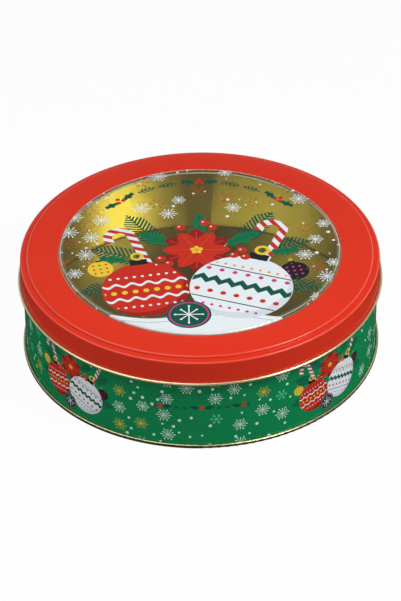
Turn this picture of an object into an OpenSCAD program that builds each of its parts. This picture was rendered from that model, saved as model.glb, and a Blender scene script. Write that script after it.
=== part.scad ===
// Round tinplate tin with a slip-on lid that has a clear window.
// Sizes are in millimetres. The tin stands on z = 0 and its axis is the z axis.

/* [Sheet] */
// Thickness of the tinplate
sheet_t = 0.3; // [0.2:0.05:0.4]
// Thickness of the clear window sheet
pane_t = 0.35; // [0.2:0.05:0.5]
// Play between pieces that are pressed or nipped together
press_gap = 0.05; // [0.03:0.01:0.1]

/* [Body] */
// Outside radius of the body wall
body_r = 99.6; // [60:0.1:150]
// Height of the body, from the ground to the top of its rolled edge
body_h = 57.75; // [35:0.05:120]
// Outside radius of the roll along the body's top edge
body_roll_r = 1; // [0.7:0.1:1.5]
// Height of the floor's upper face above the ground
floor_z = 6; // [3:0.1:12]
// Radius of the bend between the floor and its rim
floor_bend_r = 0.9; // [0.6:0.1:2]
// Width of the folded side seam at the back
side_seam_w = 5; // [3:0.5:8]
// Thickness of the side seam on the inside of the wall
side_seam_t = 0.6; // [0.3:0.05:0.9]

/* [Bottom seam] */
// Height of the folded seam that the tin stands on
seam_h = 2.2; // [1.8:0.1:3]
// Outer radius of the seam's bends
seam_bend_r = 0.6; // [0.5:0.05:0.7]
// Gap between the layers of the seam
seam_gap = 0.25; // [0.2:0.05:0.3]

/* [Lid] */
// Radial clearance between the lid's inner ring and the body wall
lid_fit = 0.3; // [0.15:0.05:0.8]
// Gap between the lid's inner ring and the top of the body's rolled edge
seat_gap = 0.2; // [0.1:0.05:0.4]
// Height of the lid's skirt, from the ledge to the middle of its rolled edge
skirt_h = 14.1; // [8:0.1:30]
// Outside radius of the roll along the skirt's lower edge
skirt_roll_r = 1; // [0.8:0.05:1.5]
// Outer radius of the bend between the ledge and the skirt
shoulder_r = 1.2; // [0.8:0.1:2]
// Radial width of the ledge around the raised ring, out to the skirt's face
ledge_w = 3.6; // [2:0.1:8]
// Height of the raised ring above the ledge
raise_h = 1.7; // [1.6:0.1:4]
// Outer radius of the bend along the raised ring's edge
raise_bend_r = 1.3; // [0.6:0.05:1.3]
// Radius of the fillet where the raised ring meets the ledge
raise_foot_r = 0.3; // [0.1:0.05:0.3]

/* [Window] */
// Radial width of the raised ring around the window
rim_w = 18; // [12:0.5:40]
// Outer radius of the hem along the opening's edge
hem_r = 0.45; // [0.4:0.05:0.5]
// Radial width of the hem's hidden leg
hem_w = 3; // [1.5:0.1:5]
// Clearance between the pane's raised wall and the opening
pane_fit = 0.4; // [0.2:0.05:1]
// How far the pane stands above the lid's raised ring
pane_rise = 1.3; // [0.8:0.05:3]
// Outer radius of the bend along the pane's raised edge
pane_bend_r = 1.2; // [0.6:0.1:1.5]
// Radius of the fillet at the foot of the pane's wall
pane_foot_r = 0.3; // [0.1:0.05:0.4]
// Radial width of the pane's hidden flange
flange_w = 8; // [4:0.5:10]
// Radial width of the retaining ring that shows inside the opening
ring_show = 1; // [0:0.1:3]
// Outer radius of the turned-down inner edge of the retaining ring
ring_edge_r = 0.5; // [0.4:0.05:0.8]
// Height of the retaining ring's flange against the inside of the lid's skirt
ring_flange_h = 4; // [2:0.5:8]

/* [Hidden] */
$fn = 180;

// Body wall
wall_in_r = body_r - sheet_t;
body_roll_x = body_r - body_roll_r;
body_roll_z = body_h - body_roll_r;
roll_open_angle = 50;

// Bottom seam, from the body wall outwards: the base's hook, the wall's hook and the base's outer face
base_hook_r = body_r + seam_gap;
wall_hook_r = base_hook_r + sheet_t + seam_gap;
seam_in_r = wall_hook_r + sheet_t + seam_gap;
seam_out_r = seam_in_r + sheet_t;
seam_bend_in_r = seam_bend_r - sheet_t;
wall_turn_in_r = (wall_hook_r - body_r) / 2;
wall_turn_r = wall_turn_in_r + sheet_t;
turn_gap = 0.1;
hook_tip_gap = 0.2;
wall_turn_z = sheet_t + turn_gap + wall_turn_r;
wall_hook_top = seam_h - sheet_t - hook_tip_gap - turn_gap;
base_hook_foot = wall_turn_z - wall_turn_in_r + hook_tip_gap;

// Base plate
chuck_r = wall_in_r - press_gap;
chuck_bend_x = chuck_r + seam_bend_in_r;
seam_bend_x = seam_out_r - seam_bend_r;
hook_bend_x = base_hook_r + seam_bend_r;

// Lid
ledge_z = body_h + seat_gap + sheet_t + press_gap + sheet_t;
top_z = ledge_z + raise_h;
skirt_in_r = body_r + lid_fit + sheet_t + press_gap;
skirt_r = skirt_in_r + sheet_t;
shoulder_x = skirt_r - shoulder_r;
shoulder_z = ledge_z - shoulder_r;
raise_r = skirt_r - ledge_w;
window_r = raise_r - rim_w;
skirt_roll_x = skirt_in_r + skirt_roll_r;
skirt_roll_z = ledge_z - skirt_h;
hem_x = window_r + hem_r;

// Window pane, under the hem and through the opening
flange_top = top_z - 2 * hem_r - press_gap;
flange_z = flange_top - pane_t;
pane_top = top_z + pane_rise;
pane_wall_r = window_r - pane_fit;
pane_foot_x = pane_wall_r + pane_foot_r;
pane_edge_r = window_r + flange_w;

// Retaining ring, under the pane's flange, then under the ledge and inside the skirt
ring_top = flange_z - press_gap;
ring_ledge_top = ledge_z - sheet_t - press_gap;
ring_step_r = raise_r - sheet_t - press_gap;
ring_r = skirt_in_r - press_gap;
ring_bore_r = window_r - ring_show;
ring_edge_x = ring_bore_r + ring_edge_r;
ring_bend_in_r = 0.1;
ring_bend_r = ring_bend_in_r + sheet_t;
ring_shoulder_r = shoulder_r - sheet_t - press_gap;

// Quarter of a bent sheet's section about the origin, from one quarter turn to the next
module bend(outer_r, t, quarter) {
    rotate(90 * quarter) intersection() {
        difference() {
            circle(outer_r);
            circle(outer_r - t);
        }
        square(outer_r);
    }
}

// Section of a rolled edge about the origin, without the wedge from one angle to the next
module roll(outer_r, t, from, to) {
    far = 2 * outer_r;
    mid = (from + to) / 2;
    difference() {
        circle(outer_r);
        circle(outer_r - t);
        polygon([
            [0, 0],
            [far * cos(from), far * sin(from)],
            [far * cos(mid), far * sin(mid)],
            [far * cos(to), far * sin(to)]
        ]);
    }
}

// Straight stretch of a section, between two corners
module strip(x0, z0, x1, z1) {
    translate([x0, z0]) square([x1 - x0, z1 - z0]);
}

// Wall of the body, rolled inwards at the top and hooked outwards at the bottom
module body_wall_section() {
    strip(wall_in_r, wall_turn_z, body_r, body_roll_z);
    translate([body_roll_x, body_roll_z]) roll(body_roll_r, sheet_t, -roll_open_angle, 0);
    translate([body_r + wall_turn_in_r, wall_turn_z]) {
        bend(wall_turn_r, sheet_t, 2);
        bend(wall_turn_r, sheet_t, 3);
    }
    strip(wall_hook_r, wall_turn_z, wall_hook_r + sheet_t, wall_hook_top);
}

// Flattened fold that joins the wall's two ends, on its inside at the back
module side_seam() {
    seam_foot = floor_z + sheet_t;
    seam_top = body_roll_z - body_roll_r - sheet_t;
    intersection() {
        translate([0, 0, seam_foot]) difference() {
            cylinder(r = body_r - sheet_t / 2, h = seam_top - seam_foot);
            translate([0, 0, -1]) cylinder(r = wall_in_r - side_seam_t, h = seam_top - seam_foot + 2);
        }
        translate([-side_seam_w / 2, 0, 0]) cube([side_seam_w, 2 * body_r, body_h]);
    }
}

module body_wall() {
    color([0, 0.45, 0.26]) {
        rotate_extrude() body_wall_section();
        side_seam();
    }
}

// Floor with its rim, and the bottom seam that clasps the wall's hook
module base_plate_section() {
    strip(0, floor_z - sheet_t, chuck_r - floor_bend_r, floor_z);
    translate([chuck_r - floor_bend_r, floor_z - floor_bend_r]) bend(floor_bend_r, sheet_t, 0);
    strip(chuck_r - sheet_t, seam_bend_r, chuck_r, floor_z - floor_bend_r);
    translate([chuck_bend_x, seam_bend_r]) bend(seam_bend_r, sheet_t, 2);
    strip(chuck_bend_x, 0, seam_bend_x, sheet_t);
    translate([seam_bend_x, seam_bend_r]) bend(seam_bend_r, sheet_t, 3);
    strip(seam_in_r, seam_bend_r, seam_out_r, seam_h - seam_bend_r);
    translate([seam_bend_x, seam_h - seam_bend_r]) bend(seam_bend_r, sheet_t, 0);
    strip(hook_bend_x, seam_h - sheet_t, seam_bend_x, seam_h);
    translate([hook_bend_x, seam_h - seam_bend_r]) bend(seam_bend_r, sheet_t, 1);
    strip(base_hook_r, base_hook_foot, base_hook_r + sheet_t, seam_h - seam_bend_r);
}

module base_plate() {
    color([0.72, 0.6, 0.34]) rotate_extrude() base_plate_section();
}

// Hem along the opening, the raised ring, the ledge, and the skirt with its rolled edge
module lid_frame_section() {
    foot_r = raise_foot_r + sheet_t;
    strip(hem_x, top_z - 2 * hem_r, hem_x + hem_w, top_z - 2 * hem_r + sheet_t);
    translate([hem_x, top_z - hem_r]) {
        bend(hem_r, sheet_t, 1);
        bend(hem_r, sheet_t, 2);
    }
    strip(hem_x, top_z - sheet_t, raise_r - raise_bend_r, top_z);
    translate([raise_r - raise_bend_r, top_z - raise_bend_r]) bend(raise_bend_r, sheet_t, 0);
    strip(raise_r - sheet_t, ledge_z + raise_foot_r, raise_r, top_z - raise_bend_r);
    translate([raise_r + raise_foot_r, ledge_z + raise_foot_r]) bend(foot_r, sheet_t, 2);
    strip(raise_r + raise_foot_r, ledge_z - sheet_t, shoulder_x, ledge_z);
    translate([shoulder_x, shoulder_z]) bend(shoulder_r, sheet_t, 0);
    strip(skirt_in_r, skirt_roll_z, skirt_r, shoulder_z);
    translate([skirt_roll_x, skirt_roll_z]) roll(skirt_roll_r, sheet_t, 180 - roll_open_angle, 180);
}

module lid_frame() {
    color([0.88, 0.22, 0.14]) rotate_extrude() lid_frame_section();
}

// Clear sheet with a raised middle that stands through the lid's opening
module window_pane_section() {
    foot_r = pane_foot_r + pane_t;
    strip(0, pane_top - pane_t, pane_wall_r - pane_bend_r, pane_top);
    translate([pane_wall_r - pane_bend_r, pane_top - pane_bend_r]) bend(pane_bend_r, pane_t, 0);
    strip(pane_wall_r - pane_t, flange_top + pane_foot_r, pane_wall_r, pane_top - pane_bend_r);
    translate([pane_foot_x, flange_top + pane_foot_r]) bend(foot_r, pane_t, 2);
    strip(pane_foot_x, flange_z, pane_edge_r, flange_top);
}

module window_pane() {
    color([0.85, 0.9, 0.92, 0.35]) rotate_extrude() window_pane_section();
}

// Inner ring that nips the pane's flange, steps down under the ledge and presses against the skirt
module pane_retaining_ring_section() {
    foot_x = ring_step_r + ring_bend_in_r;
    translate([ring_edge_x, ring_top - ring_edge_r]) {
        bend(ring_edge_r, sheet_t, 1);
        bend(ring_edge_r, sheet_t, 2);
    }
    strip(ring_edge_x, ring_top - sheet_t, ring_step_r - ring_bend_r, ring_top);
    translate([ring_step_r - ring_bend_r, ring_top - ring_bend_r]) bend(ring_bend_r, sheet_t, 0);
    strip(ring_step_r - sheet_t, ring_ledge_top + ring_bend_in_r, ring_step_r, ring_top - ring_bend_r);
    translate([foot_x, ring_ledge_top + ring_bend_in_r]) bend(ring_bend_r, sheet_t, 2);
    strip(foot_x, ring_ledge_top - sheet_t, shoulder_x, ring_ledge_top);
    translate([shoulder_x, shoulder_z]) bend(ring_shoulder_r, sheet_t, 0);
    strip(ring_r - sheet_t, shoulder_z - ring_flange_h, ring_r, shoulder_z);
}

module pane_retaining_ring() {
    color([0.8, 0.68, 0.4]) rotate_extrude() pane_retaining_ring_section();
}

body_wall();
base_plate();
lid_frame();
window_pane();
pane_retaining_ring();
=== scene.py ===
from math import cos, hypot, pi, radians, sin

import bpy
from mathutils import Matrix, Vector


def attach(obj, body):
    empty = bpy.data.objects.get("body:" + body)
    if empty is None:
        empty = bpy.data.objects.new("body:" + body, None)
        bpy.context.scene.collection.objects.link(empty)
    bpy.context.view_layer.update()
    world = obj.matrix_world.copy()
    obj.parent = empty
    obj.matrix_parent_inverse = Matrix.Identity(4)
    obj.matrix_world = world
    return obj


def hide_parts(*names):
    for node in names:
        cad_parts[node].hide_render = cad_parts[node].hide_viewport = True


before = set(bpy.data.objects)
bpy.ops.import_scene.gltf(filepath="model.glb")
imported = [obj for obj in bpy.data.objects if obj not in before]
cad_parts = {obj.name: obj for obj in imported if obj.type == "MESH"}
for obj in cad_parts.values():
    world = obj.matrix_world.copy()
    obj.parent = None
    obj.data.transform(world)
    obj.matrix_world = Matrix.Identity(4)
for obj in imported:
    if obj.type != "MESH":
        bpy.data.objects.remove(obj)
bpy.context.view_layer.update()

mm = 0.001

# The camera, at the photo's viewing angle: a long lens that looks down at the front of the tin
cameraSetup = {
    "elevation": 36.92,           # degrees above the horizon
    "roll": -0.749,               # the photo leans a little
    "distance": 1.50948,
    "target": (0.0000153, 0.0, 0.0244655),
    "focalPixels": 2664.56,
    "photoHeight": 601,
    "sensor": 36.0,
    "nearest": 0.05,
    "farthest": 20.0,
}


def makeCamera():
    c = cameraSetup
    data = bpy.data.cameras.new("camera")
    data.sensor_width = c["sensor"]
    data.lens = c["focalPixels"] * c["sensor"] / c["photoHeight"]
    data.clip_start = c["nearest"]
    data.clip_end = c["farthest"]
    camera = bpy.data.objects.new("camera", data)
    bpy.context.collection.objects.link(camera)
    tilt = Matrix.Rotation(radians(90 - c["elevation"]), 4, "X")
    turn = tilt @ Matrix.Rotation(radians(c["roll"]), 4, "Z")
    camera.matrix_world = Matrix.Translation(c["target"]) @ turn @ Matrix.Translation((0, 0, c["distance"]))
    bpy.context.scene.camera = camera


makeCamera()
print("camera made")


# Shader maths: arithmetic on a Wire adds Math nodes to its tree
def calc(operation, *values, clamp=False):
    tree = next(v.socket.id_data for v in values if isinstance(v, Wire))
    node = tree.nodes.new("ShaderNodeMath")
    node.operation = operation
    node.use_clamp = clamp
    for slot, value in zip(node.inputs, values):
        if isinstance(value, Wire):
            tree.links.new(value.socket, slot)
        else:
            slot.default_value = value
    return Wire(node.outputs[0])


class Wire:
    def __init__(self, socket):
        self.socket = socket

    def __add__(self, other):
        return calc("ADD", self, other)

    def __sub__(self, other):
        return calc("SUBTRACT", self, other)

    def __rsub__(self, other):
        return calc("SUBTRACT", other, self)

    def __mul__(self, other):
        return calc("MULTIPLY", self, other)

    def __truediv__(self, other):
        return calc("DIVIDE", self, other)

    def __pow__(self, other):
        return calc("POWER", self, other)

    def __neg__(self):
        return calc("MULTIPLY", self, -1.0)

    def __abs__(self):
        return calc("ABSOLUTE", self)

    def __lt__(self, other):
        return calc("LESS_THAN", self, other)

    def __gt__(self, other):
        return calc("GREATER_THAN", self, other)

    def __and__(self, other):        # what two shapes share
        return calc("MAXIMUM", self, other)

    def __or__(self, other):         # two shapes together
        return calc("MINIMUM", self, other)

    __radd__ = __add__
    __rmul__ = __mul__


class Finish:
    # the nodes of one material, or of the world
    def __init__(self, owner):
        owner.use_nodes = True
        self.owner = owner
        self.tree = owner.node_tree
        self.tree.nodes.clear()

    def node(self, kind, settings=None, sockets=None, out=0):
        made = self.tree.nodes.new("ShaderNode" + kind)
        for name, value in (settings or {}).items():
            setattr(made, name, value)
        for name, value in (sockets or {}).items():
            if isinstance(value, Wire):
                self.tree.links.new(value.socket, made.inputs[name])
            else:
                made.inputs[name].default_value = value
        return Wire(made.outputs[out]) if made.outputs else self.owner

    def millimetres(self):
        place = self.node("TexCoord", out="Object")
        return self.node("VectorMath", {"operation": "SCALE"}, {0: place, "Scale": 1000.0})

    def parts(self, vector):
        split = self.node("SeparateXYZ", {}, {0: vector}).socket.node
        return [Wire(x) for x in split.outputs]

    def joined(self, x, y, z=0.0):
        return self.node("CombineXYZ", {}, {"X": x, "Y": y, "Z": z})

    def length(self, vector):
        return self.node("VectorMath", {"operation": "LENGTH"}, {0: vector}, "Value")

    def blend(self, mask, under, over):
        return self.node("Mix", {"data_type": "RGBA"}, {0: mask, 6: under, 7: over}, 2)

    def noise(self, place, scale, detail=3.0):
        return self.node("TexNoise", {}, {"Vector": place, "Scale": scale, "Detail": detail}, "Fac")

    def patchy(self, place, least, spread, scale, detail=3.0):       # a value that drifts in soft patches
        return least + self.noise(place, scale, detail) * spread

    def bump(self, height, strength, distance):
        return self.node("Bump", {}, {
            "Height": height, "Strength": strength, "Distance": distance}, "Normal")

    def finish(self, surface):
        return self.node("OutputMaterial", {}, {"Surface": surface})


def paint(red, green, blue):         # a colour as a screen shows it, 0 to 255, as the shader's own values
    def level(x):
        x = x / 255
        return x / 12.92 if x <= 0.04045 else ((x + 0.055) / 1.055) ** 2.4
    return (level(red), level(green), level(blue), 1.0)


# Print inks, shared by the window and the side band
inks = {
    "white": paint(236, 245, 249),
    # not a printed ink: the pale colour of the painted highlights on the window sheet's bend and wall
    "edgeHighlight": paint(226, 224, 204),
    "snowShade": paint(186, 200, 214),
    "red": paint(206, 44, 26),
    "deepRed": paint(150, 24, 20),
    "orangeRed": paint(214, 78, 34),
    "pink": paint(214, 58, 140),
    "black": paint(24, 28, 32),
    "darkGreen": paint(0, 86, 70),
    "leafGreen": paint(4, 120, 72),
    "yellow": paint(240, 208, 58),
    "amber": paint(244, 156, 30),
    "mint": paint(220, 250, 240),
    "teal": paint(96, 214, 178),
}


# Motifs. Each gives a signed distance in millimetres, which is below nought inside the shape.
motif = {
    "armWave": 0.1,               # a burst's arms are long and short by turns, by this share each way
    "flakeArms": 6,
    # the barbs of a flake, as shares of its arm: where a pair starts and how far to the side it goes
    "flakeBarbs": [(0.52, 0.22), (0.78, 0.15)],
    "barbSlant": 0.7,             # from a measure along the arm to one square to a barb
    "leafPoints": 3,
    "needleLean": 0.8,            # a needle runs this far forward for each millimetre outwards
    "needleSlant": 0.75,          # the same turn as for a barb
    "needleTip": 0.5,             # how fast needles get longer from the tip of a sprig, and from its root
    "needleRoot": 0.8,
    "rootWidth": 0.25,            # their reach at the root, as a share of the sprig's width
    "stemHalf": 0.12,             # a share of the needles' pitch
}


def spot(fin, plane, x, y, turn=0.0, size=1.0):
    return fin.node("Mapping", {"vector_type": "TEXTURE"}, {
        "Vector": plane, "Location": (x, y, 0), "Rotation": (0, 0, radians(turn)), "Scale": (size, size, 1)})


def arms(fin, place, count):         # along and across the nearest of some arms round a centre
    u, v, _ = fin.parts(place)
    radius = fin.length(place)
    turn = calc("ARCTAN2", v, u)
    fromArm = calc("WRAP", turn, pi / count, -pi / count)
    return radius * calc("COSINE", fromArm), radius * calc("SINE", fromArm), turn


def starburst(fin, place, reach, width=0.13, taper=0.04, dot=0.45, count=12):
    along, across, turn = arms(fin, place, count)
    wave = motif["armWave"]
    reach = reach * (1 - wave + wave * calc("COSINE", turn * (count / 2)))
    side = abs(across)
    arm = (side - along * taper - width) & (along - reach)
    tip = calc("SQRT", (along - reach) * (along - reach) + side * side) - dot
    return arm | tip


def flake(fin, place, reach, width):
    along, across, _ = arms(fin, place, motif["flakeArms"])
    side = abs(across)
    shape = (side - width) & (along - reach)
    for start, spread in motif["flakeBarbs"]:
        barbs = abs(side - along + reach * start) * motif["barbSlant"] - width
        shape = shape | (barbs & (side - reach * spread))
    return shape


def disc(fin, place, radius):
    return fin.length(place) - radius


def leaf(fin, u, v, length, width, spikes=0.0):
    half = length / 2
    radius = (half * half + width * width / 4) / width
    inner = fin.joined(u, abs(v) + (radius - width / 2))
    edge = fin.length(inner) - radius
    if spikes:
        edge = edge + abs(calc("SINE", u * (motif["leafPoints"] * pi / length))) * spikes
    return edge


def sprig(u, v, length, width, pitch=3.0, needle=0.26):
    m = motif
    side = abs(v)
    root = u - side * m["needleLean"]            # where on the stem a needle starts
    needles = (abs(calc("WRAP", root, pitch / 2, -pitch / 2)) - pitch * needle) * m["needleSlant"]
    reach = calc("MINIMUM", (length - root) * m["needleTip"], root * m["needleRoot"] + width * m["rootWidth"])
    reach = calc("MINIMUM", reach, width / 2)
    stem = (side - pitch * m["stemHalf"]) & (abs(u - length / 2) - length / 2)
    return (needles & (side - reach) & -root) | stem


def scattered(fin, plane, size, jitter, turn=0.0, shift=(0, 0), seed=0.0):
    # many jittered cells: the place from the middle of the nearest, that middle, a chance and three numbers
    cells = fin.node("Mapping", {"vector_type": "POINT"}, {
        "Vector": plane, "Location": (shift[0], shift[1], 0), "Rotation": (0, 0, radians(turn)),
        "Scale": (1 / size, 1 / size, 0)})
    corner = fin.node("VectorMath", {"operation": "FLOOR"}, {0: cells})
    keyed = fin.node("VectorMath", {"operation": "ADD"}, {0: corner, 1: (0, 0, seed)})
    chance = fin.node("TexWhiteNoise", {}, {"Vector": keyed})
    numbers = fin.parts(Wire(chance.socket.node.outputs["Color"]))
    offset = fin.node("VectorMath", {"operation": "MULTIPLY_ADD"}, {
        0: Wire(chance.socket.node.outputs["Color"]), 1: (-jitter, -jitter, 0),
        2: (jitter / 2 - 0.5, jitter / 2 - 0.5, 0)})
    inCell = fin.node("VectorMath", {"operation": "SUBTRACT"}, {0: cells, 1: corner})
    moved = fin.node("VectorMath", {"operation": "ADD"}, {0: inCell, 1: offset})
    place = fin.node("Mapping", {"vector_type": "VECTOR"}, {
        "Vector": moved, "Rotation": (0, 0, -radians(turn)), "Scale": (size, size, 0)})
    middle = fin.node("VectorMath", {"operation": "SUBTRACT"}, {0: plane, 1: place})
    return place, middle, Wire(chance.socket.node.outputs["Value"]), numbers


class Print:
    # lays ink on ink, or on a clear sheet; edge is how soft an outline is, in millimetres
    leastCover = 0.001               # so that nothing is divided by nought

    def __init__(self, fin, ground=None, edge=0.1):
        self.fin = fin
        self.clear = ground is None
        self.colour = ground
        self.covered = None
        self.edge = edge

    def mask(self, distance):
        return calc("MULTIPLY_ADD", distance, -1 / self.edge, 0.5, clamp=True)

    def lay(self, mask, ink):
        if not self.clear:
            self.colour = self.fin.blend(mask, self.colour, ink)
        elif self.covered is None:
            self.colour = ink
            self.covered = mask
        else:
            total = mask + self.covered * (1 - mask)
            share = mask / calc("MAXIMUM", total, self.leastCover)
            self.colour = self.fin.blend(share, self.colour, ink)
            self.covered = total

    def shape(self, distance, ink):
        self.lay(self.mask(distance), ink)

    def detail(self, distance, ink):     # on ink that is there already
        self.colour = self.fin.blend(self.mask(distance), self.colour, ink)


print("shader tools ready")


# The printed design: a bunch of baubles, holly and fir round a red flower, in a space about 120 mm wide
bunch = {
    # the root of each fir sprig, and the middle of each leaf: place, turn, length and width
    "sprigs": [(-32, -8, 160, 38, 16), (-24, 8, 124, 40, 15), (24, 10, 56, 40, 15), (38, 0, 20, 34, 16),
               (46, -32, -12, 30, 14), (-48, -34, 194, 26, 14)],
    "leaves": [(-27, 15, 150, 28, 13), (0, 31, 92, 25, 12), (27, 15, 30, 28, 13), (53, 1, 8, 22, 10),
               (-54, -6, 172, 20, 10)],
    "canes": [(45, 24, -22), (-50, 17, 20)],     # the middle of the hook, and the turn
    "small": [(58, -20, 9.0, "black", "pink"), (-61, -16, 8.0, "yellow", "red")],
    "berries": [(-24, -6), (-19, -11), (-26, -13), (21, -3), (26, 2), (28, -5), (8, 27), (3, 32), (-12, 27)],
    "berryRadius": 3.1,
    "berryShine": (-0.9, 0.9, 0.7),              # its place on the berry, and its radius
    # the ovals that it fills, middles and half sizes; no snowflakes are printed there
    "space": [(0, -34, 71, 42), (-38, 21, 25, 25), (38, 23, 25, 23), (0, 34, 16, 24)],
}


def paintSprig(art, plane, x, y, turn, length, width):
    u, v, _ = art.fin.parts(spot(art.fin, plane, x, y, turn))
    art.shape(sprig(u, v, length, width), inks["darkGreen"])


leafShape = {
    "spikes": 2.1,
    "veinPitch": 5.2,
    "veinLean": 0.9,
    "veinHalf": 0.22,
    "veinSpread": 0.26,           # share of the leaf's width
    "midribHalf": 0.32,
    "midribReach": 0.38,          # share of the leaf's length, to each side of its middle
}


def paintLeaf(art, plane, x, y, turn, length, width):
    fin, s = art.fin, leafShape
    u, v, _ = fin.parts(spot(fin, plane, x, y, turn))
    art.shape(leaf(fin, u, v, length, width, s["spikes"]), inks["leafGreen"])
    side, half = abs(v), s["veinPitch"] / 2
    veins = abs(calc("WRAP", u - side * s["veinLean"], half, -half)) - s["veinHalf"]
    veins = (veins & (side - width * s["veinSpread"])) | (side - s["midribHalf"])
    art.detail(veins & (abs(u) - length * s["midribReach"]), inks["darkGreen"])


caneShape = {
    "radius": 7.4,                # of the hook, to the middle of the cane
    "half": 2.9,                  # half the cane's thickness
    "leg": 44,
    "hookEnd": 4.0,
    "stripePitch": 8.0,
    "stripeLean": 0.8,
    "stripeEdge": 1.1,
}


def paintCane(art, plane, x, y, turn):
    fin, s = art.fin, caneShape
    radius, half = s["radius"], s["half"]
    place = spot(fin, plane, x, y, turn)
    u, v, _ = fin.parts(place)
    hook = (abs(fin.length(place) - radius) - half) & -v
    leg = (abs(u - radius) - half) & v & (-v - s["leg"])
    end = (abs(u + radius) - half) & v & (-v - s["hookEnd"])
    outline = hook | leg | end
    art.shape(outline, inks["white"])
    stripe = calc("SINE", (u * s["stripeLean"] + v) * (2 * pi / s["stripePitch"])) * s["stripeEdge"]
    art.detail(stripe & outline, inks["red"])


# What the baubles share. The cap, its ring and the shade are shares of the radius.
ballShape = {
    "capHalf": 0.2,
    "capPlace": 1.04,
    "capTall": 0.1,
    "ringPlace": 1.27,
    "ringRadius": 0.12,
    "ringWire": 0.035,
    "lit": (-0.13, 0.15),         # how far the lit disc is moved left and up
    "lineMargin": 0.4,            # millimetres left free along the outline
    "beadMargin": 1.5,
}


def startBauble(art, plane, middle, turn, radius, ink):
    # the plain ball; gives its place, the directions across and up, and its outline
    fin = art.fin
    place = spot(fin, plane, *middle, turn)
    u, v, _ = fin.parts(place)
    ball = disc(fin, place, radius)
    art.shape(ball, inks[ink])
    return place, u, v, ball


def paintCap(art, u, v, radius):
    fin, s = art.fin, ballShape
    cap = (abs(u) - radius * s["capHalf"]) & (abs(v - radius * s["capPlace"]) - radius * s["capTall"])
    art.shape(cap, inks["black"])
    ring = disc(fin, fin.joined(u, v - radius * s["ringPlace"]), radius * s["ringRadius"])
    art.shape(abs(ring) - radius * s["ringWire"], inks["yellow"])


def paintShade(art, place, ball, radius, share, ink):
    # a darker crescent on the lower right of a ball
    left, up = ballShape["lit"]
    lit = disc(art.fin, spot(art.fin, place, radius * left, radius * up), radius)
    art.colour = art.fin.blend(art.mask(-lit & ball) * share, art.colour, inks[ink])


def paintBeads(art, u, v, ball, rows):
    for height, ink, size, pitch in rows:
        bead = art.fin.joined(calc("WRAP", u, pitch / 2, -pitch / 2), v - height)
        art.detail(disc(art.fin, bead, size) & (ball + ballShape["beadMargin"]), inks[ink])


whiteBauble = {
    "middle": (25, -36),
    "turn": -20,
    "radius": 31.5,
    "shade": 0.45,
    "zigzagRise": 4.2,
    "zigzagShift": (60.0, 4.0),   # along and down
    "zigzagHalf": 2.6,
    # rows of beads: height, ink, radius and pitch
    "beads": [(12.5, "pink", 1.6, 8.4), (-9.5, "red", 1.8, 8.4), (19.5, "amber", 1.0, 5.6),
              (-22.5, "pink", 1.1, 5.6)],
    "lines": [-16.5, 16.0],
    "lineHalf": 0.45,
}


def paintWhiteBauble(art, plane):
    b = whiteBauble
    place, u, v, ball = startBauble(art, plane, b["middle"], b["turn"], b["radius"], "white")
    paintShade(art, place, ball, b["radius"], b["shade"], "snowShade")
    inside = ball + ballShape["lineMargin"]
    along, down = b["zigzagShift"]
    zigzag = calc("PINGPONG", u + along, b["zigzagRise"])
    art.detail((abs(v + zigzag - down) - b["zigzagHalf"]) & inside, inks["darkGreen"])
    paintBeads(art, u, v, ball, b["beads"])
    for height in b["lines"]:
        art.detail((abs(v - height) - b["lineHalf"]) & inside, inks["black"])
    paintCap(art, u, v, b["radius"])


redBauble = {
    "middle": (-33, -37),
    "turn": 10,
    "radius": 27.0,
    "shade": 0.8,
    "waves": [6.0, -8.6],
    "waveRise": 1.4,
    "waveLength": 10.0,
    "waveHalf": 1.1,
    "beads": [(-1.3, "yellow", 1.8, 6.6), (13.5, "white", 1.0, 5.0), (-16.5, "white", 1.0, 5.0)],
}


def paintRedBauble(art, plane):
    b = redBauble
    place, u, v, ball = startBauble(art, plane, b["middle"], b["turn"], b["radius"], "red")
    paintShade(art, place, ball, b["radius"], b["shade"], "deepRed")
    wave = calc("SINE", u * (2 * pi / b["waveLength"])) * b["waveRise"]
    for height in b["waves"]:
        line = abs(v - wave - height) - b["waveHalf"]
        art.detail(line & (ball + ballShape["lineMargin"]), inks["white"])
    paintBeads(art, u, v, ball, b["beads"])
    paintCap(art, u, v, b["radius"])


greenBauble = {
    "middle": (-7, -63),
    "turn": 0,
    "radius": 13.5,
    "starReach": 0.62,            # share of the radius
    "star": {"width": 0.35, "taper": 0.01, "dot": 0.75, "count": 8},
    "ringInset": 1.8,
    "ringHalf": 0.4,
}


def paintGreenBauble(art, plane):
    b = greenBauble
    place, _, _, ball = startBauble(art, plane, b["middle"], b["turn"], b["radius"], "darkGreen")
    star = starburst(art.fin, place, b["radius"] * b["starReach"], **b["star"])
    art.detail(star, inks["white"])
    art.detail(abs(ball + b["ringInset"]) - b["ringHalf"], inks["pink"])


smallBauble = {
    "turn": 12,
    "beadPitch": 4.0,
    "bead": 0.8,
    "margin": 1.2,
}


def paintSmallBauble(art, plane, x, y, radius, ink, beadInk):
    fin, b = art.fin, smallBauble
    _, u, v, ball = startBauble(art, plane, (x, y), b["turn"], radius, ink)
    half = b["beadPitch"] / 2
    bead = fin.joined(calc("WRAP", u, half, -half), calc("WRAP", v, half, -half))
    art.detail(disc(fin, bead, b["bead"]) & (ball + b["margin"]), inks[beadInk])
    paintCap(art, u, v, radius)


flower = {
    "middle": (-2, 3),
    "reach": 23.0,
    "petals": 6,
    "rounds": [(30, 1.0, "deepRed"), (0, 0.92, "red")],      # turn, size and ink, the lower petals first
    "petalWidth": 0.52,           # shares of a petal's length
    "veinReach": 0.34,
    "veinHalf": 0.28,
    "seeds": 5,
    "seedTurn": 20,
    "seedPlace": 2.6,
    "seedRadius": 1.5,
    "heartRadius": 1.3,
}


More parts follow.
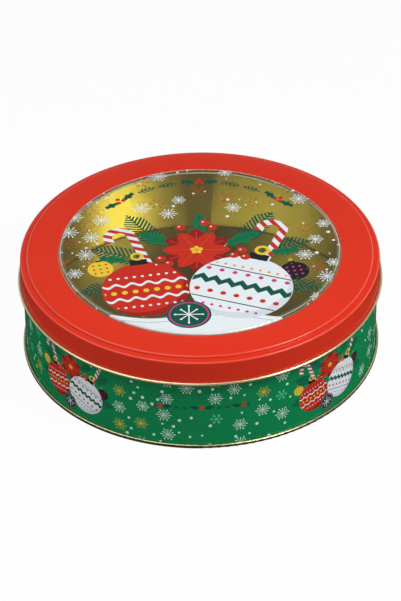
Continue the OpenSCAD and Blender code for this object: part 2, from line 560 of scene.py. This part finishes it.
def paintFlower(art, plane):
    fin, f = art.fin, flower
    for turn, size, ink in f["rounds"]:
        along, across, _ = arms(fin, spot(fin, plane, *f["middle"], turn), f["petals"])
        length = f["reach"] * size
        art.shape(leaf(fin, along - length / 2, across, length, length * f["petalWidth"]), inks[ink])
        vein = (abs(across) - f["veinHalf"]) & (abs(along - length / 2) - length * f["veinReach"])
        art.detail(vein, inks["orangeRed"])
    along, across, _ = arms(fin, spot(fin, plane, *f["middle"], f["seedTurn"]), f["seeds"])
    art.detail(disc(fin, fin.joined(along - f["seedPlace"], across), f["seedRadius"]), inks["yellow"])
    art.detail(disc(fin, spot(fin, plane, *f["middle"]), f["heartRadius"]), inks["amber"])


def paintBunch(art, plane):
    for row in bunch["sprigs"]:
        paintSprig(art, plane, *row)
    for row in bunch["canes"]:
        paintCane(art, plane, *row)
    for row in bunch["leaves"]:
        paintLeaf(art, plane, *row)
    paintFlower(art, plane)
    for row in bunch["small"]:
        paintSmallBauble(art, plane, *row)
    paintRedBauble(art, plane)
    paintWhiteBauble(art, plane)
    paintGreenBauble(art, plane)
    shineX, shineY, shine = bunch["berryShine"]
    for x, y in bunch["berries"]:
        art.shape(disc(art.fin, spot(art.fin, plane, x, y), bunch["berryRadius"]), inks["red"])
        art.detail(disc(art.fin, spot(art.fin, plane, x + shineX, y + shineY), shine), inks["white"])


garland = {
    "leafPlace": (6.4, 0.5, 14),  # from the middle of a pair: along, across and turn
    "leafLength": 10.5,
    "leafWidth": 5.2,
    "leafSpikes": 1.1,
    "berries": [(1.7, -0.7), (0.0, 2.1)],        # the first is doubled, one on each side
    "berryRadius": 1.35,
    "sprigStart": 13.0,
    "sprigGap": 1.0,
    "sprigWidth": 4.4,
    "needlePitch": 2.3,
    "needle": 0.22,
}


def paintGarland(art, along, across, half, step):
    # holly leaves in pairs with berries, and a small fir sprig on each side of a pair
    fin, g = art.fin, garland
    u = abs(calc("WRAP", along, step / 2, -step / 2))
    ends = abs(along) - half
    length = step / 2 - g["sprigStart"] - g["sprigGap"]
    twig = sprig(u - g["sprigStart"], across, length, g["sprigWidth"], g["needlePitch"], g["needle"])
    art.shape(twig & ends, inks["darkGreen"])
    a, b, _ = fin.parts(spot(fin, fin.joined(u, across), *g["leafPlace"]))
    holly = leaf(fin, a, b, g["leafLength"], g["leafWidth"], g["leafSpikes"])
    art.shape(holly & ends, inks["darkGreen"])
    low, high = (disc(fin, fin.joined(u - x, across - y), g["berryRadius"]) for x, y in g["berries"])
    art.shape((low | high) & ends, inks["red"])


# The clear window sheet and its print
windowPrint = {
    # where the ink is: on the sheet's outer side, above a height, and out from the middle of its bend
    "plateau": 77.35,
    "bendHeight": 60.4,
    "skin": 0.88,
    "lowest": 60.0,
    # star bursts, red flakes and dots: their cells, the share that is filled, the least size and the spread,
    # and how far their middles stay from the bunch and the garland
    "burstCells": {"size": 17.0, "jitter": 0.24, "turn": 17, "seed": 5},
    "burstShare": 0.95,
    "burst": (3.4, 1.9),
    "burstMargin": 2.5,
    "flakeCells": {"size": 17.0, "jitter": 0.2, "turn": 17, "shift": (0.5, 0.5), "seed": 3},
    "flakeShare": 0.75,
    "flake": (3.8, 1.8),
    "flakeMargin": 2.0,
    "flakeLine": 0.15,
    "flakeStrength": 0.6,
    "dotCells": {"size": 7.6, "jitter": 0.6, "turn": -24, "seed": 7},
    "dotShare": 0.55,
    "dot": (0.5, 0.75),
    "dotMargin": 0.5,
    "dotFromBurst": 5.9,          # no dots nearer than this to the middle of a burst
    "garlandRadius": 64.5,
    "garlandHalf": 62.0,
    "garlandStep": 50.0,
    "garlandWidth": 3.0,
    "bunch": (0, -5, 0, 0.9),     # place, turn and size
    "snowTop": -62.0,
    "snowWave": (3.0, 0.085, 8.0),               # rise, turn for each millimetre, and shift
    "snowLine": (3.4, 0.35),                     # depth under the edge, and half width
    # fine pale lines painted along the sheet's bend as painted highlights: radius, half width and strength
    "bendHighlights": [(77.75, 0.3, 0.5), (76.7, 0.16, 0.28)],
    # a painted highlight on the sheet's wall, below its bend
    "wallHighlight": (78.4, 60.55, 0.5),              # from this radius out, below this height, and strength
    "tint": (0.97, 0.98, 0.98, 1.0),
    "mirror": 0.05,               # how much it reflects, looked at straight on
    "polish": 0.05,
    "inkRoughness": 0.14,
}


def printedWindow():
    fin, w = Finish(bpy.data.materials.new("printedWindow")), windowPrint
    x, y, z = fin.parts(fin.millimetres())
    plane = fin.joined(x, y)
    radius = fin.length(plane)
    turn = calc("ARCTAN2", x, y)
    art = Print(fin)

    def isFree(middle, margin):
        mx, my, _ = fin.parts(middle)
        along = abs(calc("ARCTAN2", mx, my)) * w["garlandRadius"] - w["garlandHalf"]
        beside = abs(fin.length(middle) - w["garlandRadius"])
        free = 1 - (beside < w["garlandWidth"] + margin) * (along < margin)
        bx, by, _ = fin.parts(spot(fin, middle, *w["bunch"]))
        for px, py, wide, tall in bunch["space"]:
            inOval = fin.joined((bx - px) / (wide + margin), (by - py) / (tall + margin))
            free = free * (fin.length(inOval) > 1.0)
        return free

    def burstCells(points):
        return scattered(fin, points, **w["burstCells"])

    place, middle, chance, numbers = scattered(fin, plane, **w["flakeCells"])
    least, spread = w["flake"]
    redFlake = flake(fin, place, least + numbers[1] * spread, w["flakeLine"])
    shown = (chance < w["flakeShare"]) * isFree(middle, w["flakeMargin"])
    art.lay(art.mask(redFlake) * shown * w["flakeStrength"], inks["orangeRed"])

    place, middle, chance, numbers = scattered(fin, plane, **w["dotCells"])
    fromBurst = fin.length(burstCells(middle)[0])
    least, spread = w["dot"]
    dots = disc(fin, place, least + numbers[1] * numbers[1] * spread)
    shown = (chance < w["dotShare"]) * (fromBurst > w["dotFromBurst"]) * isFree(middle, w["dotMargin"])
    art.lay(art.mask(dots) * shown, inks["white"])

    place, middle, chance, numbers = burstCells(plane)
    least, spread = w["burst"]
    bursts = starburst(fin, place, least + numbers[1] * spread)
    shown = (chance < w["burstShare"]) * isFree(middle, w["burstMargin"])
    art.lay(art.mask(bursts) * shown, inks["white"])

    along = turn * w["garlandRadius"]
    paintGarland(art, along, radius - w["garlandRadius"], w["garlandHalf"], w["garlandStep"])

    rise, perMillimetre, shift = w["snowWave"]
    drift = y - (calc("SINE", (x + shift) * perMillimetre) * rise + w["snowTop"])
    art.shape(drift, inks["white"])
    depth, half = w["snowLine"]
    art.detail(abs(drift + depth) - half, inks["snowShade"])
    paintBunch(art, spot(fin, plane, *w["bunch"]))

    # painted highlights along the clear sheet's bend and down its wall
    for lineRadius, half, strength in w["bendHighlights"]:
        art.lay(art.mask(abs(radius - lineRadius) - half) * strength, inks["edgeHighlight"])
    wallRadius, wallTop, strength = w["wallHighlight"]
    art.lay((radius > wallRadius) * (z < wallTop) * strength, inks["edgeHighlight"])

    core = fin.joined(calc("MAXIMUM", radius - w["plateau"], 0.0), calc("MAXIMUM", z - w["bendHeight"], 0.0))
    onSkin = (fin.length(core) > w["skin"]) * (z > w["lowest"])
    facing = fin.node("LayerWeight", {}, {"Blend": 0.5}, "Facing")
    clear = fin.node("MixShader", {}, {
        0: w["mirror"] + facing ** 5 * (1 - w["mirror"]),
        1: fin.node("BsdfTransparent", {}, {"Color": w["tint"]}),
        2: fin.node("BsdfGlossy", {}, {"Color": (1, 1, 1, 1), "Roughness": w["polish"]})})
    printed = fin.node("BsdfPrincipled", {}, {"Base Color": art.colour, "Roughness": w["inkRoughness"]})
    return fin.finish(fin.node("MixShader", {}, {0: art.covered * onSkin, 1: clear, 2: printed}))


# Tinplate is never quite flat: faint wide waves under the red and the green print
sheetWaves = {
    "scale": 0.12,
    "detail": 1.0,
    "strength": 0.02,
    "depth": 0.0002,
}


def wavy(fin, place):
    w = sheetWaves
    return fin.bump(fin.noise(place, w["scale"], w["detail"]), w["strength"], w["depth"])


# The band round the body: the same design, smaller, four times round among star bursts
sidePrint = {
    "radius": 99.6,
    "green": paint(0, 146, 86),
    "greenLow": paint(0, 132, 75),
    "patches": 0.05,              # how fine and how strong the change between the two greens is
    "patchStrength": 0.6,
    "outline": 0.08,
    # bursts and flakes in columns of cells: how many round, the share that is filled, the share of each ink
    "cellsRound": 48,
    "burstJitter": 0.3,
    "burstShare": 0.85,
    "burstMargin": 2.8,
    "yellowShare": 0.2,
    "tealShare": 0.38,            # with the yellow ones
    "white": (3.3, 0.7),          # least reach and spread
    "whiteStar": {"width": 0.08, "dot": 0.38},
    "yellow": (3.7, 0.4),
    "yellowStar": {"width": 0.1, "taper": 0.015, "dot": 0.26},
    "teal": (3.5, 0.17),          # reach and line
    "dotCells": {"size": 5.6, "jitter": 0.6, "turn": 31, "seed": 9},
    "dotShare": 0.5,
    "dot": (0.55, 0.5),
    "dotMargin": 0.5,
    "dotFromBurst": 4.9,
    "bunchHeight": 32.0,
    "bunchSize": 0.375,
    "bunchHalf": 26.0,
    "garlandHeight": 27.0,
    "garlandHalf": 26.0,
    "garlandWidth": 2.0,
    "garlandSize": 0.6,
    "garlandStep": 38.0,
    "roughness": (0.24, 0.08, 0.5, 2.0),         # least, spread, and how fine its patches are
    "specular": 0.32,
}


def greenPrint():
    fin, s = Finish(bpy.data.materials.new("greenPrint")), sidePrint
    spotPlace = fin.millimetres()
    x, y, z = fin.parts(spotPlace)
    along = calc("ARCTAN2", x, -y) * s["radius"]
    plane = fin.joined(along, z)
    quarter = s["radius"] * pi / 2
    patches = fin.noise(spotPlace, s["patches"]) * s["patchStrength"]
    art = Print(fin, fin.blend(patches, s["green"], s["greenLow"]), s["outline"])

    def fromFront(distance):             # the garland is in the middle of each quarter, from the front on
        return calc("WRAP", distance, quarter / 2, -quarter / 2)

    def fromBunch(distance):             # and the bunch where two quarters meet
        return calc("WRAP", distance, quarter, 0.0) - quarter / 2

    def isFree(middle, margin):
        mAlong, mz, _ = fin.parts(middle)
        besideGarland = abs(fromFront(mAlong)) < s["garlandHalf"] + margin
        inGarland = besideGarland * (abs(mz - s["garlandHeight"]) < s["garlandWidth"] + margin)
        return (abs(fromBunch(mAlong)) > s["bunchHalf"] + margin) * (1 - inGarland)

    cell = 2 * pi * s["radius"] / s["cellsRound"]

    def burstCells(points):              # every other column of cells is half a cell higher
        pAlong, pz, _ = fin.parts(points)
        stagger = calc("FLOORED_MODULO", calc("FLOOR", pAlong / cell), 2.0) * (cell / 2)
        return scattered(fin, fin.joined(pAlong, pz + stagger), cell, s["burstJitter"], seed=2)

    place, _, chance, numbers = burstCells(plane)
    middle = fin.node("VectorMath", {"operation": "SUBTRACT"}, {0: plane, 1: place})
    isYellow = numbers[2] < s["yellowShare"]
    isTeal = (numbers[2] < s["tealShare"]) * (1 - isYellow)
    shown = (chance < s["burstShare"]) * isFree(middle, s["burstMargin"])
    least, spread = s["white"]
    white = starburst(fin, place, least + numbers[1] * spread, **s["whiteStar"])
    least, spread = s["yellow"]
    yellow = starburst(fin, place, least + numbers[1] * spread, **s["yellowStar"])
    art.lay(art.mask(white) * shown * (1 - isTeal) * (1 - isYellow), inks["mint"])
    art.lay(art.mask(yellow) * shown * isYellow, inks["yellow"])
    art.lay(art.mask(flake(fin, place, *s["teal"])) * shown * isTeal, inks["teal"])

    place, middle, chance, numbers = scattered(fin, plane, **s["dotCells"])
    fromBurst = fin.length(burstCells(middle)[0])
    least, spread = s["dot"]
    dots = disc(fin, place, least + numbers[1] * spread)
    shown = (chance < s["dotShare"]) * (fromBurst > s["dotFromBurst"]) * isFree(middle, s["dotMargin"])
    art.lay(art.mask(dots) * shown, inks["mint"])

    size = s["garlandSize"]
    up = (z - s["garlandHeight"]) / size
    paintGarland(art, fromFront(along) / size, up, s["garlandHalf"] / size, s["garlandStep"])
    paintBunch(art, spot(fin, fin.joined(fromBunch(along), z), 0, s["bunchHeight"], 0, s["bunchSize"]))

    return fin.finish(fin.node("BsdfPrincipled", {}, {
        "Base Color": art.colour,
        "Roughness": fin.patchy(spotPlace, *s["roughness"]),
        "Specular IOR Level": s["specular"],
        "Normal": wavy(fin, spotPlace)}))


# The red print, a little paler along the crests of its bends: the ink is stretched and rubbed there, and a
# highlight is painted along each crest
redSheet = {
    "red": paint(228, 47, 20),
    "redLight": paint(233, 52, 24),
    "patches": (0.03, 2.0),       # how fine the change between the two reds is
    # pale pink on each crest: rubbed ink and a painted highlight
    "rubbedAndHighlight": paint(252, 112, 92),
    "bends": [(79.0, 60.2), (96.6, 59.95), (100.2, 58.3)],     # radius and height of each crest
    "bendReach": 0.65,
    "wearAndHighlight": (0.35, 0.6, 0.25),    # least, spread, and how fine its patches are, as for the roughness
    "roughness": (0.22, 0.07, 1.5),
    "specular": 0.38,
}


def redPrint():
    fin, r = Finish(bpy.data.materials.new("redPrint")), redSheet
    place = fin.millimetres()
    x, y, z = fin.parts(place)
    radius = fin.length(fin.joined(x, y))
    crest = None
    for bendRadius, bendHeight in r["bends"]:
        near = fin.length(fin.joined(radius - bendRadius, z - bendHeight))
        crest = near if crest is None else crest | near
    # strongest on each crest and fading over bendReach: the painted highlight together with the wear
    bent = calc("DIVIDE", r["bendReach"] - crest, r["bendReach"], clamp=True)
    sheet = fin.blend(fin.noise(place, *r["patches"]), r["red"], r["redLight"])
    return fin.finish(fin.node("BsdfPrincipled", {}, {
        "Base Color": fin.blend(bent * fin.patchy(place, *r["wearAndHighlight"]), sheet, r["rubbedAndHighlight"]),
        "Roughness": fin.patchy(place, *r["roughness"]),
        "Specular IOR Level": r["specular"],
        "Normal": wavy(fin, place)}))


# Lacquer inside and on the bottom seam; the seam's side is rougher, and painted darker as shade where the tin
# stands on the floor
goldSheet = {
    "light": paint(222, 209, 126),
    "deep": paint(208, 194, 110),
    "patches": 0.04,
    "edge": paint(242, 228, 178), # the rolled edge and the bottom seam are bent smooth, pale and bright
    "edgeRadius": 99.8,
    # painted shade on the seam's side, laid in patches
    "seamShade": paint(104, 96, 62),
    "seamShadePatches": (0.75, 0.3, 0.8),   # least, spread, and how fine the patches are, as for the roughness
    "roughness": (0.28, 0.1, 0.7),
    "scuffRoughness": 0.2,
    "seamSide": 101.0,
    "seamTop": 1.95,
}


def goldLacquer():
    fin, g = Finish(bpy.data.materials.new("goldLacquer")), goldSheet
    place = fin.millimetres()
    x, y, z = fin.parts(place)
    radius = fin.length(fin.joined(x, y))
    # the seam's side, which gets the painted shade and the extra roughness
    side = (radius > g["seamSide"]) * (z < g["seamTop"])
    plain = fin.blend(fin.noise(place, g["patches"]), g["deep"], g["light"])
    sheet = fin.blend(radius > g["edgeRadius"], plain, g["edge"])
    return fin.finish(fin.node("BsdfPrincipled", {}, {
        "Base Color": fin.blend(side * fin.patchy(place, *g["seamShadePatches"]), sheet, g["seamShade"]),
        "Metallic": 1.0,
        "Roughness": fin.patchy(place, *g["roughness"]) + side * g["scuffRoughness"]}))


# The retaining ring: the lacquer is thin on its cut edge and shows pale
paleSheet = {
    "light": paint(240, 230, 192),
    "deep": paint(222, 206, 150),
    "patches": 0.3,
    "metallic": 0.4,
    "roughness": (0.38, 0.12, 2.0),
}


def paleEdge():
    fin, p = Finish(bpy.data.materials.new("paleEdge")), paleSheet
    place = fin.millimetres()
    return fin.finish(fin.node("BsdfPrincipled", {}, {
        "Base Color": fin.blend(fin.noise(place, p["patches"]), p["light"], p["deep"]),
        "Metallic": p["metallic"],
        "Roughness": fin.patchy(place, *p["roughness"])}))


# Bare metal, along the cut edges of the sheet
cutSheet = {
    "steel": paint(150, 145, 135),
    "roughness": (0.35, 0.2, 2.0),
}


def bareSteel():
    fin, c = Finish(bpy.data.materials.new("bareSteel")), cutSheet
    return fin.finish(fin.node("BsdfPrincipled", {}, {
        "Base Color": c["steel"],
        "Metallic": 1.0,
        "Roughness": fin.patchy(fin.millimetres(), *c["roughness"])}))


red = redPrint()
green = greenPrint()
gold = goldLacquer()
steel = bareSteel()
window = printedWindow()
pale = paleEdge()
print("materials made")


# Sizes of the tin in millimetres, as the real sheet is bent; radii are to the printed face
bodySizes = {
    "wall": 99.6,
    "sheet": 0.3,
    "hookRadius": 100.4,
    "hookTop": 1.6,
    "turnHeight": 1.1,
    "rollHeight": 56.75,
    "roll": 1.0,
    "rollEnd": 310,               # degrees round the roll
    "seamHalf": 2.5,              # the side seam, at the back
    "seamBottom": 6.3,
    "seamTop": 55.45,
    "seamThickness": 0.6,
    "grooveWidth": 0.3,
    "grooveDepth": 0.12,
    "cutHalf": 8.0,               # the part of the wall that is cut up for the seam
    "cutAbove": 0.1,
}
lidSizes = {
    "sheet": 0.3,
    "opening": 79.4,
    "hem": 0.45,
    "hemLeg": 3.0,
    "ringTop": 60.3,
    "raised": 96.95,
    "raisedBend": 1.3,
    "foot": 0.3,
    "ledge": 58.6,
    "shoulder": 1.2,
    "skirt": 100.55,
    "rollHeight": 44.5,
    "roll": 0.7,                  # inside radius, to the printed face
    "rollEnd": 490,
}

# How finely the sheets are modelled
modelling = {
    "sides": 192,                 # straight stretches round each turned sheet
    "sameRing": 1e-6,             # rings of an outline that are nearer than this are one
    "weld": 1e-7,                 # the same for corners, in metres
    "smoothAngle": 40,            # degrees; a sharper bend keeps its edge
}


def arc(radius, height, bend, start, end, step=15):
    count = max(2, round(abs(end - start) / step))
    angles = [radians(start + (end - start) * i / count) for i in range(count + 1)]
    return [(radius + bend * cos(a), height + bend * sin(a)) for a in angles]


def deselectAll():
    bpy.ops.object.select_all(action="DESELECT")


def turnedSheet(name, outline, sheet, materials):
    # one ring is extruded along the outline, then the sheet gets its thickness on the far side of the print
    deselectAll()
    radius, height = outline[0]
    bpy.ops.mesh.primitive_circle_add(
        vertices=modelling["sides"], radius=radius * mm, location=(0, 0, height * mm))
    piece = bpy.context.object
    piece.name = piece.data.name = name
    bpy.ops.object.mode_set(mode="EDIT")
    bpy.ops.mesh.select_mode(type="EDGE")
    bpy.ops.mesh.select_all(action="SELECT")
    for nextRadius, nextHeight in outline[1:]:
        if hypot(nextRadius - radius, nextHeight - height) < modelling["sameRing"]:
            continue
        bpy.ops.mesh.extrude_region_move(TRANSFORM_OT_translate={"value": (0, 0, (nextHeight - height) * mm)})
        scale = nextRadius / radius
        bpy.ops.transform.resize(value=(scale, scale, 1), center_override=(0, 0, 0))
        radius, height = nextRadius, nextHeight
    bpy.ops.mesh.select_all(action="SELECT")
    bpy.ops.mesh.remove_doubles(threshold=modelling["weld"])
    bpy.ops.object.mode_set(mode="OBJECT")
    bpy.ops.object.transform_apply(location=True, rotation=True, scale=True)
    widest = max(piece.data.polygons, key=lambda f: f.area)
    outwards = Vector((widest.center.x, widest.center.y, 0)).normalized()
    if widest.normal.dot(outwards + Vector((0, 0, 1))) < 0:
        bpy.ops.object.mode_set(mode="EDIT")
        bpy.ops.mesh.select_all(action="SELECT")
        bpy.ops.mesh.flip_normals()
        bpy.ops.object.mode_set(mode="OBJECT")
    for material in materials:
        piece.data.materials.append(material)
    solid = piece.modifiers.new("sheet", "SOLIDIFY")
    solid.thickness = sheet * mm
    solid.offset = -1
    solid.use_even_offset = True
    solid.use_quality_normals = True
    solid.material_offset = 1
    solid.material_offset_rim = 2
    bpy.ops.object.modifier_apply(modifier="sheet")
    return piece


def pickFaces(piece, wanted):
    # selects the faces whose middle passes the test, in edit mode
    bpy.ops.object.mode_set(mode="OBJECT")
    for part in (piece.data.vertices, piece.data.edges):
        for item in part:
            item.select = False
    for face in piece.data.polygons:
        face.select = wanted(face.center / mm)
    bpy.ops.object.mode_set(mode="EDIT")
    bpy.ops.mesh.select_mode(type="FACE")


def addSideSeam(piece):
    # the lock seam at the back: a flat fold on the inside and a fine line where the sheet tucks in outside
    s = bodySizes
    grooveStart, grooveEnd = s["seamHalf"], s["seamHalf"] + s["grooveWidth"]

    def nearSeam(c):
        return c.y > 0 and abs(c.x) < s["cutHalf"] and s["hookTop"] < c.z < s["rollHeight"] + s["cutAbove"]

    for x in (-s["seamHalf"], grooveStart, grooveEnd):
        pickFaces(piece, nearSeam)
        bpy.ops.mesh.bisect(plane_co=(x * mm, 0, 0), plane_no=(1, 0, 0))
    for z in (s["seamBottom"], s["seamTop"]):
        pickFaces(piece, nearSeam)
        bpy.ops.mesh.bisect(plane_co=(0, 0, z * mm), plane_no=(0, 0, 1))

    def inHeight(c):
        return c.y > 0 and s["seamBottom"] < c.z < s["seamTop"]

    middle = s["wall"] - s["sheet"] / 2
    pickFaces(piece, lambda c: inHeight(c) and abs(c.x) < s["seamHalf"] and hypot(c.x, c.y) < middle)
    bpy.ops.mesh.extrude_region_move(TRANSFORM_OT_translate={"value": (0, -s["seamThickness"] * mm, 0)})
    pickFaces(piece, lambda c: inHeight(c) and grooveStart < c.x < grooveEnd and hypot(c.x, c.y) > middle)
    bpy.ops.mesh.extrude_region_move(TRANSFORM_OT_translate={"value": (0, -s["grooveDepth"] * mm, 0)})
    bpy.ops.object.mode_set(mode="OBJECT")
    for face in piece.data.polygons:
        if face.select:
            face.material_index = 1


def smoothed(piece):
    deselectAll()
    piece.select_set(True)
    bpy.context.view_layer.objects.active = piece
    bpy.ops.object.shade_smooth_by_angle(angle=radians(modelling["smoothAngle"]))


def makeBodyShell(materials):
    s = bodySizes
    outline = [(s["hookRadius"], s["hookTop"]), (s["hookRadius"], s["turnHeight"])]
    half = (s["hookRadius"] - s["wall"]) / 2
    outline += arc(s["wall"] + half, s["turnHeight"], half, 0, -180, 30)
    outline += [(s["wall"], s["turnHeight"])]
    outline += arc(s["wall"] - s["roll"], s["rollHeight"], s["roll"], 0, s["rollEnd"])
    piece = turnedSheet("body_shell", outline, s["sheet"], materials)
    addSideSeam(piece)
    smoothed(piece)
    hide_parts("body_wall")
    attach(piece, "tin")


def makeLidShell(materials):
    s = lidSizes
    outline = [(s["opening"] + s["hemLeg"], s["ringTop"] - 2 * s["hem"])]
    outline += arc(s["opening"], s["ringTop"] - s["hem"], s["hem"], 270, 90)
    outline += arc(s["raised"] - s["raisedBend"], s["ringTop"] - s["raisedBend"], s["raisedBend"], 90, 0, 10)
    outline += arc(s["raised"] + s["foot"], s["ledge"] + s["foot"], s["foot"], 180, 270, 22.5)
    outline += arc(s["skirt"] - s["shoulder"], s["ledge"] - s["shoulder"], s["shoulder"], 90, 0, 10)
    outline += arc(s["skirt"] + s["roll"], s["rollHeight"], s["roll"], 180, s["rollEnd"])
    piece = turnedSheet("lid_shell", outline, s["sheet"], materials)
    smoothed(piece)
    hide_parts("lid_frame")
    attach(piece, "lid")


makeBodyShell([green, gold, steel])
print("body shell modelled")
makeLidShell([red, gold, steel])
print("lid shell modelled")

for name, material in (("base_plate", gold), ("window_pane", window), ("pane_retaining_ring", pale)):
    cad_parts[name].data.materials.clear()
    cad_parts[name].data.materials.append(material)
print("packed pieces finished")


# Pale floor, soft studio light
studio = {
    "floorSize": 20.0,
    "floorWhite": 0.96,           # how much of the floor's white is its own when it is looked at
    "floorPaper": (0.9, 0.9, 0.9, 1.0),          # the rest takes the light and the tin's shadow
    # in reflections the floor near the tin is a dark grey: painted shade round the tin's foot
    "contact": (0.2, 0.6),        # in reflections it turns white this far out, over this stretch
    "bounce": 0.54,               # the grey that the tin is lit from
    "nearBounce": 0.12,           # how much of that grey the tin's own gloss picks up
    "ceilingFront": 0.05,
    "ceilingBack": 0.2,
    "horizonFront": 0.56,
    "horizonBack": 1.0,
    "horizonTop": 0.16,           # as a share of the way up, and the stretch over which it fades
    "horizonFade": 0.3,
    "backRise": 2.0,              # how fast the light rises from the side towards the back
    # each lamp: degrees to the right of the front, degrees above the floor, distance, size and power
    "lamps": {
        "right": (64, 50, 0.75, 0.27, 2.8),
        "left": (-70, 50, 0.65, 0.45, 1.1),
        "top": (-25, 68, 0.55, 0.25, 0.5),
    },
    "aim": (0, 0, 0.03),
}


def makeFloor():
    s = studio
    deselectAll()
    bpy.ops.mesh.primitive_plane_add(size=s["floorSize"])
    floor = bpy.context.object
    floor.name = "floor"
    fin = Finish(bpy.data.materials.new("floorPaper"))
    path = fin.node("LightPath").socket.node
    rays = ("Is Camera Ray", "Is Glossy Ray", "Is Transmission Ray")
    camera, glossy, through = (Wire(path.outputs[name]) for name in rays)
    x, y, _ = fin.parts(fin.node("TexCoord", out="Object"))
    start, fade = s["contact"]
    # near the tin, reflections see the dark grey floor: painted shade
    away = calc("DIVIDE", fin.length(fin.joined(x, y)) - start, fade, clamp=True)
    seenWhite = calc("MAXIMUM", camera, calc("MAXIMUM", glossy, through) * away)
    paper = fin.node("MixShader", {}, {
        0: s["floorWhite"],
        1: fin.node("BsdfDiffuse", {}, {"Color": s["floorPaper"]}),
        2: fin.node("Emission", {}, {"Color": (1, 1, 1, 1), "Strength": 1.0})})
    grey = s["bounce"] * (1 - glossy * (1 - s["nearBounce"]))
    lighting = fin.node("BsdfDiffuse", {}, {"Color": fin.joined(grey, grey, grey)})
    floor.data.materials.append(fin.finish(fin.node("MixShader", {}, {0: seenWhite, 1: lighting, 2: paper})))


def makeWorld():
    # a dim ceiling and a pale wall round the horizon, both brightest behind the tin
    s = studio
    world = bpy.data.worlds.new("studio")
    bpy.context.scene.world = world
    fin = Finish(world)
    _, y, z = fin.parts(fin.node("TexCoord", out="Generated"))
    behind = calc("MULTIPLY_ADD", y, s["backRise"], 0.0, clamp=True)
    horizon = s["horizonFront"] + behind * (s["horizonBack"] - s["horizonFront"])
    ceiling = s["ceilingFront"] + behind * (s["ceilingBack"] - s["ceilingFront"])
    height = calc("DIVIDE", abs(z) - s["horizonTop"], s["horizonFade"], clamp=True)
    strength = horizon + height * (ceiling - horizon)
    sky = fin.node("Background", {}, {"Color": (1, 1, 1, 1), "Strength": strength})
    fin.node("OutputWorld", {}, {"Surface": sky})


def makeLamps():
    aim = Vector(studio["aim"])
    for name, (turn, rise, distance, size, power) in studio["lamps"].items():
        data = bpy.data.lights.new(name, "AREA")
        data.size = size
        data.energy = power
        light = bpy.data.objects.new(name, data)
        bpy.context.collection.objects.link(light)
        level, side = distance * cos(radians(rise)), radians(turn)
        light.location = (level * sin(side), -level * cos(side), distance * sin(radians(rise)))
        light.rotation_euler = (aim - light.location).to_track_quat("-Z", "Y").to_euler()


def makeStudio():
    makeFloor()
    makeWorld()
    makeLamps()
    bpy.context.scene.view_settings.view_transform = "Standard"


makeStudio()
print("studio lit")
